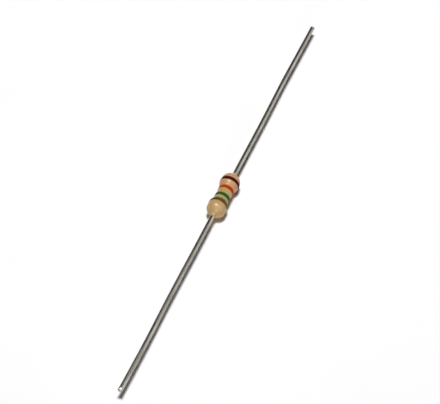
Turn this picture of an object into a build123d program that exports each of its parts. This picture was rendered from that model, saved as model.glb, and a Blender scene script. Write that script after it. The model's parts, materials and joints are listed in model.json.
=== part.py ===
from build123d import *
from math import atan2, degrees, hypot, radians, tan
import os

# Axial carbon-film resistor of the quarter-watt size, in millimetres.
# The axis is X, with the first colour band at the -X end. The origin is the middle of the body.
# Every piece is a solid of revolution, drawn as a section above the axis and turned about X.

# Ceramic rod, and the resistive film round it
ROD_DIAMETER = 1.62
ROD_LENGTH = 5.60
ROD_CHAMFER = 0.15
FILM_THICKNESS = 0.03
TRIM_PITCH = 0.42
TRIM_WIDTH = 0.12
TRIM_TO_CAP = 0.22

# Pressed end caps
CAP_WALL = 0.17
CAP_LENGTH = 1.40
CAP_INNER_CORNER = 0.13

# Leads, welded to the caps
LEAD_DIAMETER = 0.55
LEAD_FREE_LENGTH = 27.45
WELD_HEAD_DIAMETER = 0.90
WELD_HEAD_THICKNESS = 0.10
WELD_FLANK = 0.12

# Lacquer coat
COAT_OVER_FILM = 0.08
COAT_OVER_CAP = 0.15
COAT_OVER_END = 0.26
SHOULDER_LENGTH = 0.40
SHOULDER_TO_CAP = 0.02
WAIST_ROUND = 0.45
SHOULDER_ROUND = 0.90
END_TAPER = 0.24
END_ROUND = 0.85
MENISCUS_LENGTH = 0.49
MENISCUS_THICKNESS = 0.09
MENISCUS_ROUND = 0.20

# How much of its straight stretch each rounding of the coat may take up
WAIST_SHARE = 0.33
SHOULDER_SHARE = 0.65
END_SHARE = 0.79
MENISCUS_SHARE = 0.19

# Colour bands, counted from the -X end of the coat. The last one spreads up the shoulder.
INK_THICKNESS = 0.03
BAND_WIDTH = 0.50
LAST_BAND_WIDTH = 0.72
FIRST_BAND_SETBACK = 1.25
BAND_PITCH = 1.24
LAST_BAND_GAP = 1.05

# Radii and places that follow from the sizes above
rod_r = ROD_DIAMETER / 2
film_r = rod_r + FILM_THICKNESS
cap_r = film_r + CAP_WALL
lead_r = LEAD_DIAMETER / 2
waist_r = film_r + COAT_OVER_FILM
bulge_r = cap_r + COAT_OVER_CAP
meniscus_r = lead_r + MENISCUS_THICKNESS
rod_end = ROD_LENGTH / 2
cap_end = rod_end + CAP_WALL
cap_mouth = cap_end - CAP_LENGTH
coat_end = cap_end + COAT_OVER_END
meniscus_tip = coat_end + MENISCUS_LENGTH
lead_end = meniscus_tip + LEAD_FREE_LENGTH


def turned(section):
    """The solid that a section above the axis makes when it is turned about X."""
    return revolve(section, Axis.X, 360)


def section_of(*points):
    """A flat section with straight sides."""
    return make_face(Polyline(*points, close=True))


def other_end(shape):
    """The same shape at the -X end of the resistor."""
    return mirror(shape, about=Plane.YZ)


def round_within(radius, room, turn):
    """A corner's radius, limited by the length of straight stretch that it may take up."""
    return min(radius, room / tan(radians(turn / 2)))


def ceramic_rod():
    """Plain ground rod with chamfered ends."""
    half = section_of(
        (0, 0), (0, rod_r), (rod_end - ROD_CHAMFER, rod_r), (rod_end, rod_r - ROD_CHAMFER), (rod_end, 0)
    )
    return turned(half + other_end(half))


def carbon_film():
    """Sleeve of film round the rod, cut through by the helical trim groove between the caps."""
    film_end = rod_end - ROD_CHAMFER
    half = section_of((0, rod_r), (0, film_r), (film_end, film_r), (film_end, rod_r))
    sleeve = turned(half + other_end(half))
    reach = cap_mouth - TRIM_TO_CAP - TRIM_WIDTH / 2
    helix = Helix(pitch=TRIM_PITCH, height=2 * reach, radius=rod_r + FILM_THICKNESS / 2)
    groove_path = Pos(-reach, 0, 0) * Rot(0, 90, 0) * helix
    groove_plane = Plane(groove_path @ 0, x_dir=(1, 0, 0), z_dir=groove_path % 0)
    groove_section = groove_plane * Rectangle(TRIM_WIDTH, 4 * FILM_THICKNESS)
    return sleeve - sweep(groove_section, groove_path, is_frenet=True)


def end_cap():
    """Pressed cup, forced over the film until its floor meets the end of the rod."""
    outside = section_of((cap_mouth, 0), (cap_mouth, cap_r), (cap_end, cap_r), (cap_end, 0))
    hollow = section_of((cap_mouth, 0), (cap_mouth, film_r), (rod_end, film_r), (rod_end, 0))
    outside_corner = outside.vertices().group_by(Axis.X)[-1].sort_by(Axis.Y)[-1]
    hollow_corner = hollow.vertices().group_by(Axis.X)[-1].sort_by(Axis.Y)[-1]
    outside = fillet(outside_corner, CAP_INNER_CORNER + CAP_WALL)
    hollow = fillet(hollow_corner, CAP_INNER_CORNER)
    return turned(outside - hollow)


def lead_section():
    """Wire with the upset head and flank that the weld leaves against the cap."""
    head_r = WELD_HEAD_DIAMETER / 2
    head_end = cap_end + WELD_HEAD_THICKNESS
    return section_of(
        (cap_end, 0), (cap_end, head_r), (head_end, head_r), (head_end + WELD_FLANK, lead_r),
        (lead_end, lead_r), (lead_end, 0),
    )


def coat_outline():
    """Filled dog-bone outline of the coat: waist, shoulder, bulge, rounded end and meniscus."""
    shoulder_foot = cap_mouth - SHOULDER_TO_CAP - SHOULDER_LENGTH
    shoulder_top = shoulder_foot + SHOULDER_LENGTH
    shoulder_turn = degrees(atan2(bulge_r - waist_r, SHOULDER_LENGTH))
    shoulder_wall = hypot(SHOULDER_LENGTH, bulge_r - waist_r)
    end_turn = degrees(atan2(bulge_r - meniscus_r, END_TAPER))
    end_wall = hypot(END_TAPER, bulge_r - meniscus_r)
    meniscus_turn = end_turn - degrees(atan2(MENISCUS_THICKNESS, MENISCUS_LENGTH))
    edge = FilletPolyline(
        (0, waist_r),
        (shoulder_foot, waist_r),
        (shoulder_top, bulge_r),
        (coat_end - END_TAPER, bulge_r),
        (coat_end, meniscus_r),
        (meniscus_tip, lead_r),
        radius=[
            round_within(WAIST_ROUND, WAIST_SHARE * shoulder_wall, shoulder_turn),
            round_within(SHOULDER_ROUND, SHOULDER_SHARE * shoulder_wall, shoulder_turn),
            round_within(END_ROUND, END_SHARE * end_wall, end_turn),
            round_within(MENISCUS_ROUND, MENISCUS_SHARE * end_wall, meniscus_turn),
        ],
    )
    half = make_face(edge + Polyline((meniscus_tip, lead_r), (meniscus_tip, 0), (0, 0), (0, waist_r)))
    return half + other_end(half)


def lacquer_coat():
    """Coat that fills the space between its outline and the film, the caps and the leads."""
    filled_cap = section_of(
        (0, 0), (0, film_r), (cap_mouth, film_r), (cap_mouth, cap_r), (cap_end, cap_r), (cap_end, 0)
    )
    cap_corner = filled_cap.vertices().group_by(Axis.X)[-1].sort_by(Axis.Y)[-1]
    core = fillet(cap_corner, CAP_INNER_CORNER + CAP_WALL) + lead_section()
    return turned(coat_outline() - core - other_end(core))


def colour_band(centre, width):
    """Ring of ink that follows the coat's outline over the band's width."""
    outline = coat_outline()
    ink = offset(outline, INK_THICKNESS) - outline
    window = Pos(centre, bulge_r) * Rectangle(width, 2 * bulge_r - 2 * lead_r)
    return turned(ink & window)


band_centres = {
    "band_brown": -coat_end + FIRST_BAND_SETBACK,
    "band_orange": -coat_end + FIRST_BAND_SETBACK + BAND_PITCH,
    "band_green": -coat_end + FIRST_BAND_SETBACK + 2 * BAND_PITCH,
    "band_gold": -coat_end + FIRST_BAND_SETBACK + 2 * BAND_PITCH + LAST_BAND_GAP,
}

cap = end_cap()
lead = turned(lead_section())
pieces = {
    "ceramic_rod": ceramic_rod(),
    "carbon_film": carbon_film(),
    "end_cap_brown_end": other_end(cap),
    "end_cap_gold_end": cap,
    "lead_brown_end": other_end(lead),
    "lead_gold_end": lead,
    "lacquer_coat": lacquer_coat(),
}
for name, centre in band_centres.items():
    pieces[name] = colour_band(centre, LAST_BAND_WIDTH if name == "band_gold" else BAND_WIDTH)

os.makedirs("parts", exist_ok=True)
for name, piece in pieces.items():
    export_step(piece, f"parts/{name}.step")
    print(f"{name}: {len(piece.solids())} solid, {piece.volume:.4f} mm3")
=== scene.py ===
import json
import math

import bmesh
import bpy
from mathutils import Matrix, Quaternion, Vector


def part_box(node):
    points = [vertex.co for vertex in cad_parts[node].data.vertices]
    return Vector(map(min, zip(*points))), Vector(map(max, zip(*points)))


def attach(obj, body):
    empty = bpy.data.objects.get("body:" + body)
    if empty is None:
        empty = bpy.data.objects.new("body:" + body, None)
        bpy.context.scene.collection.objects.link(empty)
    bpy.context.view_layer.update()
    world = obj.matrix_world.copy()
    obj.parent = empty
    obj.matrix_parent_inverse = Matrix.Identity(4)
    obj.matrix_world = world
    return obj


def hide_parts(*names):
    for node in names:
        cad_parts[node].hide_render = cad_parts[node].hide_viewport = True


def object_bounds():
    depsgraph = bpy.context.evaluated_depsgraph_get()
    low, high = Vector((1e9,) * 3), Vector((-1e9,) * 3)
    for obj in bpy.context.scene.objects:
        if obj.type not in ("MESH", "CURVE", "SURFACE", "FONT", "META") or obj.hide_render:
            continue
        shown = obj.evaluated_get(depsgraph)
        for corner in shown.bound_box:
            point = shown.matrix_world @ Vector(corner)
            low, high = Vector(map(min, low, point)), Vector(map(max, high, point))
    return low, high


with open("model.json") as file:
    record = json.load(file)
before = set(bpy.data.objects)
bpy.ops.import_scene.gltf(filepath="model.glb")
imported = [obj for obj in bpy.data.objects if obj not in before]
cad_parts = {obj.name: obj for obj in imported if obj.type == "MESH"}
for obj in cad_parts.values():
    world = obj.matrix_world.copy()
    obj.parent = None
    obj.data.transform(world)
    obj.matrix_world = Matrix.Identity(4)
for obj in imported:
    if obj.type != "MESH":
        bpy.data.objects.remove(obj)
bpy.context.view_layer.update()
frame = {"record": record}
mm = 0.001
ENDS = {"brown": -1, "gold": 1}


# ---- Ceramic rod ----
# A plain rod of white alumina, ground round and chamfered at both ends.
# It carries the film, and both caps are forced over it.

rod_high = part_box("ceramic_rod")[1]
rod_r = rod_high.z
rod_end = rod_high.x
ROD_CHAMFER = 0.15 * mm
ROD_EDGE = 0.03 * mm
MESH_GAP = 0.25 * mm


def rounded(corners, radii, step=math.radians(7)):
    """Straight runs from corner to corner, with each inner corner rounded to its radius."""
    points = [Vector(corners[0])]
    for before, corner, after, radius in zip(corners, corners[1:], corners[2:], radii):
        corner = Vector(corner)
        back = (Vector(before) - corner).normalized()
        ahead = (Vector(after) - corner).normalized()
        half = back.angle(ahead) / 2
        centre = corner + (back + ahead).normalized() * radius / math.sin(half)
        first = corner + back * radius / math.tan(half) - centre
        last = corner + ahead * radius / math.tan(half) - centre
        start = math.atan2(first.y, first.x)
        turn = (math.atan2(last.y, last.x) - start + math.pi) % (2 * math.pi) - math.pi
        count = max(2, round(abs(turn) / step))
        for k in range(count + 1):
            angle = start + turn * k / count
            points.append(centre + radius * Vector((math.cos(angle), math.sin(angle))))
    return points + [Vector(corners[-1])]


def spaced(points, gap):
    """The same line with more points, so that no two neighbours lie further apart than gap."""
    line = [points[0]]
    for a, b in zip(points, points[1:]):
        pieces = max(1, math.ceil((b - a).length / gap))
        line += [a.lerp(b, k / pieces) for k in range(1, pieces + 1)]
    return line


def on_circle(x, r, turn):
    """A point at distance r from the axis, turned from +Z towards +Y."""
    return (x, r * math.sin(turn), r * math.cos(turn))


def turned(name, section, around=96, place=on_circle, ring=False):
    """A solid turned about X. Its section runs from axis to axis, or closes on itself as a ring."""
    made = bmesh.new()
    rows = []
    for x, r in section:
        turns = [2 * math.pi * k / around for k in range(around)] if r > 0 else [0]
        rows.append([made.verts.new(place(x, r, turn)) for turn in turns])
    pairs = list(zip(rows, rows[1:])) + ([(rows[-1], rows[0])] if ring else [])
    for a, b in pairs:
        for k in range(around):
            n = (k + 1) % around
            corners = [a[k % len(a)], b[k % len(b)], b[n % len(b)], a[n % len(a)]]
            if len(a) > 1 or len(b) > 1:
                made.faces.new(list(dict.fromkeys(corners)))
    return piece_from(name, made)


def piece_from(name, made, crisp=math.radians(40)):
    """A smooth-shaded object from a bmesh, with its crisp edges marked sharp."""
    bmesh.ops.recalc_face_normals(made, faces=made.faces)
    for edge in made.edges:
        edge.smooth = edge.calc_face_angle(0) < crisp
    for face in made.faces:
        face.smooth = True
    mesh = bpy.data.meshes.new(name)
    made.to_mesh(mesh)
    made.free()
    piece = bpy.data.objects.new(name, mesh)
    bpy.context.scene.collection.objects.link(piece)
    return piece


def add(tree, kind, sockets, **settings):
    """A new node with its settings made, and its sockets given values or links."""
    node = tree.nodes.new(kind)
    for key, value in settings.items():
        setattr(node, key, value)
    for key, value in sockets.items():
        if isinstance(value, bpy.types.NodeSocket):
            tree.links.new(value, node.inputs[key])
        else:
            node.inputs[key].default_value = value
    return node


def colour(text):
    """The linear colour of six hexadecimal digits."""
    parts = [int(text[k:k + 2], 16) / 255 for k in (0, 2, 4)]
    return (*[c / 12.92 if c <= 0.04045 else ((c + 0.055) / 1.055) ** 2.4 for c in parts], 1.0)


def new_finish(name, **sockets):
    """A material, its node tree, its shader, and a socket with the place on the piece in mm."""
    material = bpy.data.materials.new(name)
    material.use_nodes = True
    tree = material.node_tree
    shader = tree.nodes["Principled BSDF"]
    for key, value in sockets.items():
        shader.inputs[key.replace("_", " ").title().replace("Ior", "IOR")].default_value = value
    place = add(tree, "ShaderNodeTexCoord", {}).outputs["Object"]
    in_mm = add(tree, "ShaderNodeMapping", {"Vector": place, "Scale": (1 / mm, 1 / mm, 1 / mm)})
    return material, tree, shader, in_mm.outputs["Vector"]


def grain(tree, where, scale, stretch=(1, 1, 1), detail=3.0, roughness=0.55):
    """Noise from 0 to 1, with scale features to the mm, drawn out by stretch."""
    drawn = add(tree, "ShaderNodeMapping", {"Vector": where, "Scale": stretch}).outputs["Vector"]
    sockets = {"Vector": drawn, "Scale": scale, "Detail": detail, "Roughness": roughness}
    return add(tree, "ShaderNodeTexNoise", sockets).outputs["Fac"]


def ramp(tree, share, *stops):
    """A colour that follows share through stops of (place, colour)."""
    node = add(tree, "ShaderNodeValToRGB", {"Fac": share})
    steps = node.color_ramp.elements
    while len(steps) < len(stops):
        steps.new(1.0)
    for step, (at, shade) in zip(steps, stops):
        step.position, step.color = at, shade
    return node.outputs["Color"]


def ranged(tree, share, low, high, to_low, to_high, soft=False):
    """share from low to high, carried over to the range from to_low to to_high."""
    sockets = {"Value": share, "From Min": low, "From Max": high, "To Min": to_low, "To Max": to_high}
    how = "SMOOTHSTEP" if soft else "LINEAR"
    return add(tree, "ShaderNodeMapRange", sockets, interpolation_type=how).outputs["Result"]


def mixed(tree, share, first, second):
    """Two colours mixed, with share of the second."""
    node = add(tree, "ShaderNodeMix", {0: share, 6: first, 7: second}, data_type="RGBA")
    return node.outputs[2]


def bumped(tree, shader, height, depth):
    """Relief on the shader, depth metres high where height runs from 0 to 1."""
    node = add(tree, "ShaderNodeBump", {"Height": height, "Distance": depth})
    tree.links.new(node.outputs["Normal"], shader.inputs["Normal"])


def ceramic_finish():
    """Matt white alumina with a sintered grain and faint rings left by the grinding wheel."""
    material, tree, shader, where = new_finish("white_alumina", roughness=0.62)
    speckle = grain(tree, where, 14.0, detail=5.0)
    rings = grain(tree, where, 9.0, stretch=(3.0, 0.15, 0.15))
    tone = ramp(
        tree, speckle, (0.30, colour("d8d4c8")), (0.55, colour("ece9df")), (0.72, colour("f4f2ea")),
    )
    tree.links.new(tone, shader.inputs["Base Color"])
    tree.links.new(ranged(tree, rings, 0.3, 0.7, 0.50, 0.72), shader.inputs["Roughness"])
    bumped(tree, shader, rings, 3e-6)
    return material


rod_section = rounded(
    [
        (-rod_end, 0), (-rod_end, rod_r - ROD_CHAMFER), (ROD_CHAMFER - rod_end, rod_r),
        (rod_end - ROD_CHAMFER, rod_r), (rod_end, rod_r - ROD_CHAMFER), (rod_end, 0),
    ],
    [ROD_EDGE] * 4,
)
rod = turned("alumina_rod", spaced(rod_section, MESH_GAP))
rod.data.materials.append(ceramic_finish())
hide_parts("ceramic_rod")
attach(rod, "root")


# ---- Carbon film ----
# A thin dark film of carbon baked on the rod. A helical groove is cut through it between the caps,
# and the longer path that this leaves sets the part's resistance.

film_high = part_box("carbon_film")[1]
film_r = film_high.z
film_end = film_high.x
TRIM_PITCH = 0.42 * mm
TRIM_COLUMNS = 14
GROOVE_COLUMNS = 4
TRIM_REACH = 1.29 * mm
FILM_AROUND = 96
SAME_PLACE = 1e-8  # points nearer than this are one


def trimmed_film():
    """A sleeve on a slanted grid that meets itself one pitch on, with the groove's columns left out."""
    column = TRIM_PITCH / TRIM_COLUMNS
    count = math.ceil((2 * film_end + TRIM_PITCH) / column)
    made = bmesh.new()
    grid = []
    for row in range(FILM_AROUND):
        share = row / FILM_AROUND
        starts = [k + TRIM_COLUMNS * share for k in range(count + TRIM_COLUMNS + 1)]
        lie = [-film_end - TRIM_PITCH + start * column for start in starts]
        place = [on_circle(min(max(x, -film_end), film_end), film_r, 2 * math.pi * share) for x in lie]
        grid.append([made.verts.new(p) for p in place])
    for row in range(FILM_AROUND):
        last = row == FILM_AROUND - 1
        ahead = grid[0][TRIM_COLUMNS:] if last else grid[row + 1]
        for k in range(min(len(grid[row]), len(ahead)) - 1):
            corners = [grid[row][k], grid[row][k + 1], ahead[k + 1], ahead[k]]
            middle = sum(corner.co.x for corner in corners) / 4
            in_groove = k % TRIM_COLUMNS < GROOVE_COLUMNS and abs(middle) < TRIM_REACH
            if not in_groove:
                made.faces.new(corners)
    bmesh.ops.remove_doubles(made, verts=made.verts, dist=SAME_PLACE)
    bmesh.ops.dissolve_degenerate(made, edges=made.edges, dist=SAME_PLACE)
    loose = [v for v in made.verts if not v.link_faces]
    bmesh.ops.delete(made, geom=loose, context="VERTS")
    piece = piece_from("trimmed_film", made)
    thick = piece.modifiers.new("thickness", "SOLIDIFY")
    thick.thickness = film_r - rod_r
    thick.offset = -1.0
    return piece


def film_finish():
    """Dark grey carbon with a dull sheen, a little mottled where it was baked on."""
    material, tree, shader, where = new_finish("baked_carbon", roughness=0.4, metallic=0.15)
    mottle = grain(tree, where, 4.0, detail=4.0)
    tone = ramp(tree, mottle, (0.3, colour("232326")), (0.7, colour("3a3a3d")))
    tree.links.new(tone, shader.inputs["Base Color"])
    tree.links.new(ranged(tree, mottle, 0.3, 0.7, 0.32, 0.5), shader.inputs["Roughness"])
    bumped(tree, shader, grain(tree, where, 20.0), 1e-6)
    return material


film = trimmed_film()
film.data.materials.append(film_finish())
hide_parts("carbon_film")
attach(film, "root")


# ---- End caps ----
# Two cups pressed from thin steel strip and tin plated, forced over the film at the rod's ends.
# Their grip is the electrical contact, and each carries a lead welded to its floor.

cap_low, cap_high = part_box("end_cap_gold_end")
cap_r = cap_high.z
cap_end = cap_high.x
cap_mouth = cap_low.x
CAP_CORNER = 0.13 * mm
CAP_LIP = 0.05 * mm
CAP_MESH_GAP = 0.2 * mm


def plated_finish():
    """Tin-plated steel with draw lines along the cup's wall and a faint cloud in the plating."""
    material, tree, shader, where = new_finish("tinned_steel", metallic=1.0, roughness=0.35)
    draw_lines = grain(tree, where, 22.0, stretch=(0.08, 1.0, 1.0), detail=2.0)
    cloud = grain(tree, where, 2.5)
    tone = ramp(tree, cloud, (0.3, colour("a8a59e")), (0.7, colour("c9c6be")))
    tree.links.new(tone, shader.inputs["Base Color"])
    tree.links.new(ranged(tree, draw_lines, 0.3, 0.7, 0.26, 0.46), shader.inputs["Roughness"])
    bumped(tree, shader, draw_lines, 2e-6)
    return material


cap_wall = cap_r - film_r
cap_section = rounded(
    [
        (cap_end, 0), (cap_end, cap_r), (cap_mouth, cap_r),
        (cap_mouth, film_r), (rod_end, film_r), (rod_end, 0),
    ],
    [CAP_CORNER + cap_wall, CAP_LIP, CAP_LIP, CAP_CORNER],
)
cap_metal = plated_finish()
for band, side in ENDS.items():
    line = [(side * x, r) for x, r in spaced(cap_section, CAP_MESH_GAP)]
    cap = turned(f"pressed_cap_{band}", line)
    cap.data.materials.append(cap_metal)
    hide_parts(f"end_cap_{band}_end")
    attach(cap, "root")


# ---- Leads ----
# Soft copper wire with a bright tin coat, butt-welded to the cap: the weld upsets its end into a
# small head. The wire is straight as it left the reel, and its free end is cropped by shears.

lead_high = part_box("lead_gold_end")[1]
lead_r = frame["record"]["mounts"][0]["dims"]["r_mm"] * mm
lead_end = lead_high.x
head_r = lead_high.z
HEAD_THICKNESS = 0.10 * mm
HEAD_FLANK = 0.12 * mm
WIRE_EDGES = [0.02 * mm, 0.03 * mm, 0.05 * mm, 0.03 * mm]
WIRE_AROUND = 40
CROP_LENGTH = 0.22 * mm
CROP_SQUASH = 0.16
CROP_SLANT = 0.10
WIRE_WANDER = 0.035 * mm


def wire_place(side):
    """Where a point of the wire lies: it wanders by a hair, and its tip is pinched by the shears."""
    def place(x, r, turn):
        out = (abs(x) - cap_end) / (lead_end - cap_end)
        free = math.sin(math.pi * min(1.0, 1.6 * out) / 2) ** 2
        y = WIRE_WANDER * free * math.sin(9.0 * out + 0.8 * side)
        z = WIRE_WANDER * free * math.sin(6.5 * out + 2.1 - side)
        pinch = max(0.0, 1 - (lead_end - abs(x)) / CROP_LENGTH) ** 1.5
        tall = 1 - CROP_SQUASH * pinch
        back = CROP_SLANT * (r * math.cos(turn) + lead_r) * pinch
        wide = (2 - tall) ** 0.5
        return (x - side * back, y + r * math.sin(turn) * wide, z + r * math.cos(turn) * tall)
    return place


def wire_finish():
    """Tin over copper: bright where the dies drew it smooth, dull in cloudy patches, finely scored."""
    material, tree, shader, where = new_finish("tinned_copper", metallic=1.0, roughness=0.3)
    drawn = grain(tree, where, 16.0, stretch=(0.03, 1.0, 1.0), detail=3.0)
    cloud = grain(tree, where, 1.1, stretch=(0.35, 1.0, 1.0), detail=4.0)
    specks = grain(tree, where, 7.0, detail=2.0)
    tone = ramp(tree, cloud, (0.28, colour("88837a")), (0.52, colour("aba69d")), (0.74, colour("c4bfb6")))
    dust = ranged(tree, specks, 0.66, 0.74, 0.0, 0.45)
    tree.links.new(mixed(tree, dust, tone, colour("4c463c")), shader.inputs["Base Color"])
    tree.links.new(ranged(tree, cloud, 0.3, 0.7, 0.34, 0.20), shader.inputs["Roughness"])
    bumped(tree, shader, drawn, 2.5e-6)
    return material


wire_section = rounded(
    [
        (cap_end, 0), (cap_end, head_r), (cap_end + HEAD_THICKNESS, head_r),
        (cap_end + HEAD_THICKNESS + HEAD_FLANK, lead_r), (lead_end, lead_r), (lead_end, 0),
    ],
    WIRE_EDGES,
)
wire_metal = wire_finish()
for band, side in ENDS.items():
    line = [(side * x, r) for x, r in spaced(wire_section, MESH_GAP)]
    wire = turned(f"wire_{band}", line, around=WIRE_AROUND, place=wire_place(side))
    wire.data.materials.append(wire_metal)
    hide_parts(f"lead_{band}_end")
    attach(wire, "root")


# ---- Lacquer coat ----
# Tan epoxy lacquer, rolled on in layers and baked. It bulges over the caps, draws in at the waist
# between them, and climbs each lead in a short meniscus before it sets.

coat_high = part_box("lacquer_coat")[1]
ring_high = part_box("band_green")[1]
INK = 0.03 * mm
bulge_r = coat_high.z
waist_r = ring_high.z - INK
coat_tip = coat_high.x
MENISCUS_LENGTH = 0.49 * mm
MENISCUS_RISE = 0.09 * mm
END_TAPER = 0.24 * mm
END_ROUND = 0.85 * mm
MENISCUS_ROUND = 0.20 * mm
MENISCUS_HOLLOW = 0.40
MENISCUS_LIP = 0.004 * mm
SHOULDER_LENGTH = 0.40 * mm
SHOULDER_GAP = 0.02 * mm
WAIST_ROUND = 0.45 * mm
SHOULDER_ROUND = 0.90 * mm
UNEVEN = 0.008 * mm
WICKING = 0.07 * mm
THIN_SKIN = 0.3 * mm
INSIDE_EDGE = 0.01 * mm
COAT_AROUND = 144
COAT_MESH_GAP = 0.08 * mm
COAT_TURN_STEP = math.radians(4)

coat_end = coat_tip - MENISCUS_LENGTH
coat_half = rounded(
    [
        (0, waist_r),
        (cap_mouth - SHOULDER_GAP - SHOULDER_LENGTH, waist_r),
        (cap_mouth - SHOULDER_GAP, bulge_r),
        (coat_end - END_TAPER, bulge_r),
        (coat_end, lead_r + MENISCUS_RISE),
        (coat_tip, lead_r + MENISCUS_LIP),
    ],
    [WAIST_ROUND, SHOULDER_ROUND, END_ROUND, MENISCUS_ROUND],
    step=COAT_TURN_STEP,
)
coat_line = spaced(coat_half, COAT_MESH_GAP)
for point in coat_line:
    climb = max(0.0, (point.x - coat_end) / MENISCUS_LENGTH)
    point.y -= MENISCUS_HOLLOW * (point.y - lead_r) * math.sin(math.pi * min(climb, 1.0))


def coat_lift(x, turn):
    """How far the lacquer stands from its true outline: long soft swells, as it sagged and set."""
    along = x / mm
    swell = math.sin(2 * turn + 1.3 * along) + 0.7 * math.sin(turn - 2.1 * along + 0.6)
    return UNEVEN * (swell + 0.5 * math.sin(3 * turn + 2.7 * along + 2.0) - 1.0)


def coat_place(x, r, turn):
    """Where a point of the coat lies, with its swells and the uneven edge of each meniscus."""
    up_lead = min(1.0, max(0.0, (abs(x) - coat_end) / MENISCUS_LENGTH))
    edge = 0.5 + 0.3 * math.sin(turn + 0.9 * math.copysign(1, x)) + 0.2 * math.sin(3 * turn + 1.7)
    skin = min(1.0, max(0.0, (r - lead_r) / THIN_SKIN))
    shift = -math.copysign(WICKING * edge * up_lead, x)
    return on_circle(x + shift, r + coat_lift(x, turn) * skin, turn)


# Each ink's stain on the lacquer: its colour, how far it reaches from the band's middle in mm, and
# its share there. Nearer than STAIN_CORE it is even.
STAINS = {
    "band_brown": ("c98a70", 1.20, 0.65),
    "band_orange": ("d9864c", 0.80, 0.60),
    "band_green": ("99a16b", 0.90, 0.70),
    "band_gold": ("a08a55", 0.50, 0.25),
}
STAIN_CORE = 0.20


def coat_finish():
    """Satin tan lacquer, mottled and slightly waxy. Each ink stains it a little past its band."""
    material, tree, shader, where = new_finish("tan_lacquer", roughness=0.30, specular_ior_level=0.42)
    cloud = grain(tree, where, 1.3, detail=4.0)
    fine = grain(tree, where, 9.0, detail=3.0)
    tone = ramp(tree, cloud, (0.30, colour("b3915d")), (0.52, colour("bc9b68")), (0.75, colour("c5a674")))
    flecks = ranged(tree, fine, 0.62, 0.76, 0.0, 0.36)
    tone = mixed(tree, flecks, tone, colour("9c7a4b"))
    along = add(tree, "ShaderNodeSeparateXYZ", {"Vector": where}).outputs["X"]
    for name, (stain, reach, depth) in STAINS.items():
        low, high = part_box(name)
        off = add(tree, "ShaderNodeMath", {0: along, 1: (low.x + high.x) / 2 / mm}, operation="SUBTRACT")
        far = add(tree, "ShaderNodeMath", {0: off.outputs[0]}, operation="ABSOLUTE").outputs[0]
        share = ranged(tree, far, STAIN_CORE, reach, depth, 0.0, soft=True)
        tone = mixed(tree, share, tone, colour(stain))
    tree.links.new(tone, shader.inputs["Base Color"])
    tree.links.new(ranged(tree, cloud, 0.3, 0.7, 0.25, 0.36), shader.inputs["Roughness"])
    bumped(tree, shader, fine, 2.5e-6)
    return material


coat_inside = rounded(
    [
        (coat_tip, lead_r), (cap_end + HEAD_THICKNESS + HEAD_FLANK, lead_r),
        (cap_end + HEAD_THICKNESS, head_r), (cap_end, head_r),
        (cap_end, cap_r), (cap_mouth, cap_r), (cap_mouth, film_r), (0, film_r),
    ],
    [INSIDE_EDGE, INSIDE_EDGE, INSIDE_EDGE, CAP_CORNER + cap_wall, CAP_LIP, INSIDE_EDGE],
)
half_ring = coat_line + spaced(coat_inside, MESH_GAP)
other_half = [(-x, r) for x, r in reversed(half_ring)]
coat_section = half_ring[:-1] + other_half[:-1]
coat = turned("lacquer_skin", coat_section, around=COAT_AROUND, place=coat_place, ring=True)
coat.data.materials.append(coat_finish())
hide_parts("lacquer_coat")
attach(coat, "root")


# ---- Colour bands ----
# Four rings of ink rolled on from printing wheels. The ink is thick in the middle and thins to
# soft, slightly wavy edges; the first three give the value, and the metallic gold the tolerance.

BAND_EDGE = 0.05 * mm
BAND_WAVE = 0.014 * mm
BAND_STEPS = 14
SUNK = 0.004 * mm
OUTER = 1.0  # the r that marks a point of the ink's outside in its section
INNER = 0.4  # and of its inside
SLOPE_STEP = 0.01 * mm


def coat_radius(x):
    """The coat's outline radius at a place along the axis."""
    x = abs(x)
    for a, b in zip(coat_line, coat_line[1:]):
        if a.x <= x <= b.x:
            return a.y + (b.y - a.y) * (x - a.x) / max(b.x - a.x, 1e-9)
    return lead_r


def ink_place(low_x, high_x, phase):
    """Where a point of a band lies: x runs from 0 to 1 across it, and r is OUTER or INNER."""
    def place(x, r, turn):
        left_wave = 1 + 0.6 * math.sin(2 * turn + phase) + 0.4 * math.sin(5 * turn + 2 * phase)
        right_wave = 1 + 0.6 * math.sin(3 * turn - phase) + 0.4 * math.sin(7 * turn + phase)
        left = low_x + BAND_WAVE * left_wave
        right = high_x - BAND_WAVE * right_wave
        along = left + (right - left) * x
        from_edge = min(x, 1 - x) * (right - left)
        crown = math.sqrt(max(0.0, 1 - (1 - min(1.0, from_edge / BAND_EDGE)) ** 2))
        worn = 0.86 + 0.08 * math.sin(turn * 2 + 3 * phase + 9 * x) + 0.06 * math.sin(5 * turn + 14 * x)
        rise = coat_radius(along + SLOPE_STEP) - coat_radius(along - SLOPE_STEP)
        slope = rise / (2 * SLOPE_STEP)
        lie = math.hypot(1, slope)
        height = INK * crown * worn if r == OUTER else -SUNK
        skin = coat_radius(along) + coat_lift(along, turn)
        return on_circle(along - height * slope / lie, skin + height / lie, turn)
    return place


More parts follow.
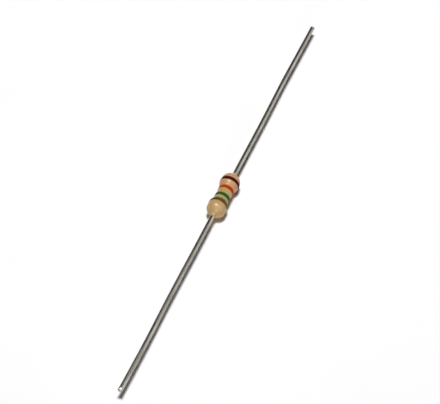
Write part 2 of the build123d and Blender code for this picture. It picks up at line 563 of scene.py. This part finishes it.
def ink_finish(name, deep, mid, thin, metallic=0.0, roughness=0.48, flake=0.0):
    """Ink with streaks round the ring where the wheel dragged it, and thin places in its edges."""
    material, tree, shader, where = new_finish(f"{name}_ink", metallic=metallic, specular_ior_level=0.06)
    streaks = grain(tree, where, 3.0, stretch=(4.0, 0.35, 0.35), detail=2.0)
    patches = grain(tree, where, 2.2, detail=4.0)
    both = add(tree, "ShaderNodeMath", {0: streaks, 1: patches}, operation="ADD").outputs[0]
    share = add(tree, "ShaderNodeMath", {0: both, 1: 0.5}, operation="MULTIPLY").outputs[0]
    tone = ramp(tree, share, (0.36, colour(deep)), (0.50, colour(mid)), (0.66, colour(thin)))
    if flake:
        glints = ranged(tree, grain(tree, where, 38.0, detail=1.0), 0.58, 0.72, 0.0, flake)
        tone = mixed(tree, glints, tone, colour("d9b871"))
    tree.links.new(tone, shader.inputs["Base Color"])
    sheen = ranged(tree, share, 0.35, 0.65, roughness - 0.06, roughness + 0.08)
    tree.links.new(sheen, shader.inputs["Roughness"])
    bumped(tree, shader, share, 1.5e-6)
    return material


INKS = {
    "brown": dict(deep="2d0a00", mid="3c1001", thin="4b1b06"),
    "orange": dict(deep="8e3304", mid="a03f0a", thin="b24f15"),
    "green": dict(deep="30480c", mid="3a5415", thin="476120"),
    "gold": dict(deep="4b3512", mid="583f18", thin="685024", metallic=0.35, roughness=0.44, flake=0.35),
}
across = [k / BAND_STEPS for k in range(BAND_STEPS + 1)]
across = [0.5 - 0.5 * math.cos(math.pi * share) for share in across]
for phase, (band, ink) in enumerate(INKS.items()):
    low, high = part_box(f"band_{band}")
    section = [(share, OUTER) for share in across] + [(share, INNER) for share in reversed(across[1:-1])]
    place = ink_place(low.x, high.x, 1.0 + phase)
    ring = turned(f"ring_{band}", section, around=COAT_AROUND, place=place, ring=True)
    ring.data.materials.append(ink_finish(band, **ink))
    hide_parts(f"band_{band}")
    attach(ring, "root")


# ---- Floor, light and camera ----
# A glossy white sheet that the resistor lies on by its two bulges. A soft lamp hangs overhead, and a
# small one stands low before the gold end. Two dark cards, seen by reflections alone, give the wire
# its dark side.

floor_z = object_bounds()[0].z
FLOOR_SIZE = 1.2
CLEAR_FLOOR = 0.09
WHITE_FLOOR = 0.16
SHEET_CELLS = 12


def light_path_share(tree):
    """1 for what the camera sees, straight or in metal and glass, and 0 for light on its way."""
    path = add(tree, "ShaderNodeLightPath", {}).outputs
    direct = {0: path["Is Camera Ray"], 1: path["Is Glossy Ray"]}
    seen = add(tree, "ShaderNodeMath", direct, operation="MAXIMUM")
    both = {0: seen.outputs[0], 1: path["Is Transmission Ray"]}
    return add(tree, "ShaderNodeMath", both, operation="MAXIMUM").outputs[0]


def floor_finish():
    """White gloss laminate that takes the shadow near the object and is plain white further out."""
    material, tree, shader, where = new_finish("white_laminate", roughness=0.20, specular_ior_level=0.12)
    cloud = grain(tree, where, 0.05, detail=2.0)
    tone = ramp(tree, cloud, (0.3, (0.97, 0.97, 0.97, 1)), (0.7, (0.985, 0.985, 0.985, 1)))
    tree.links.new(tone, shader.inputs["Base Color"])
    distance = add(tree, "ShaderNodeVectorMath", {0: where}, operation="LENGTH").outputs["Value"]
    away = ranged(tree, distance, CLEAR_FLOOR / mm, WHITE_FLOOR / mm, 0.0, 1.0, soft=True)
    white = add(tree, "ShaderNodeEmission", {"Color": (1, 1, 1, 1), "Strength": light_path_share(tree)})
    far = add(tree, "ShaderNodeMixShader", {0: away, 1: shader.outputs[0], 2: white.outputs[0]})
    tree.links.new(far.outputs[0], tree.nodes["Material Output"].inputs["Surface"])
    return material


def flat_sheet(name, size_x, size_y, middle):
    """A level sheet of square cells round its middle."""
    made = bmesh.new()
    bmesh.ops.create_grid(made, x_segments=SHEET_CELLS, y_segments=SHEET_CELLS, size=0.5)
    bmesh.ops.scale(made, vec=(size_x, size_y, 1), verts=made.verts)
    bmesh.ops.translate(made, vec=middle, verts=made.verts)
    return piece_from(name, made)


floor = flat_sheet("floor", FLOOR_SIZE, FLOOR_SIZE, (0, 0, floor_z))
floor.data.materials.append(floor_finish())

# Each card's name, width and height, place, and lean in degrees.
CARDS = [
    ("side_card", (0.9, 0.50), (0, -0.10, 0.26), 90),
    ("top_card", (0.7, 0.38), (-0.50, 0.09, 0.51), 0),
]
card_material = bpy.data.materials.new("dark_card")
card_material.use_nodes = True
card_shade = card_material.node_tree.nodes["Principled BSDF"]
card_shade.inputs["Base Color"].default_value = (0.02, 0.02, 0.02, 1)
card_shade.inputs["Specular IOR Level"].default_value = 0.0
for name, size, at, lean in CARDS:
    card = flat_sheet(name, *size, (0, 0, 0))
    card.location = at
    card.rotation_euler = (math.radians(lean), 0, 0)
    card.data.materials.append(card_material)
    card.visible_camera = False
    card.visible_diffuse = False
    card.visible_shadow = False


def lamp(name, watts, size, at):
    """A soft square lamp that faces the resistor's middle."""
    data = bpy.data.lights.new(name, "AREA")
    data.energy = watts
    data.size = size
    lamp_object = bpy.data.objects.new(name, data)
    lamp_object.location = at
    lamp_object.rotation_mode = "QUATERNION"
    lamp_object.rotation_quaternion = (-Vector(at)).to_track_quat("-Z", "Y")
    bpy.context.scene.collection.objects.link(lamp_object)


lamp("overhead_lamp", watts=2.05, size=0.12, at=(-0.04, -0.012, 0.45))
lamp("front_fill", watts=0.70, size=0.08, at=(0.44, 0.08, 0.05))

world = bpy.data.worlds.new("studio")
bpy.context.scene.world = world
world.use_nodes = True
sky = world.node_tree
DOME = 0.02
level = ranged(sky, light_path_share(sky), 0.0, 1.0, DOME, 1.0)
sky.nodes["Background"].inputs["Color"].default_value = (1, 1, 1, 1)
sky.links.new(level, sky.nodes["Background"].inputs["Strength"])

VIEW_SIDE = math.radians(20.5)
VIEW_HEIGHT = math.radians(47.2)
VIEW_ROLL = math.radians(0.9)
VIEW_DISTANCE = 0.263
LENS = 184
AIM = (0.0011, 0, 0)

back = Vector((
    math.cos(VIEW_HEIGHT) * math.cos(VIEW_SIDE),
    math.cos(VIEW_HEIGHT) * math.sin(VIEW_SIDE),
    math.sin(VIEW_HEIGHT),
))
camera_data = bpy.data.cameras.new("camera")
camera_data.lens = LENS
camera_data.sensor_width = 36
camera_data.clip_start = 0.01
camera = bpy.data.objects.new("camera", camera_data)
camera.rotation_mode = "QUATERNION"
camera.location = Vector(AIM) + back * VIEW_DISTANCE
camera.rotation_quaternion = (-back).to_track_quat("-Z", "Y") @ Quaternion((0, 0, 1), VIEW_ROLL)
bpy.context.scene.collection.objects.link(camera)
bpy.context.scene.camera = camera
bpy.context.scene.view_settings.view_transform = "Standard"
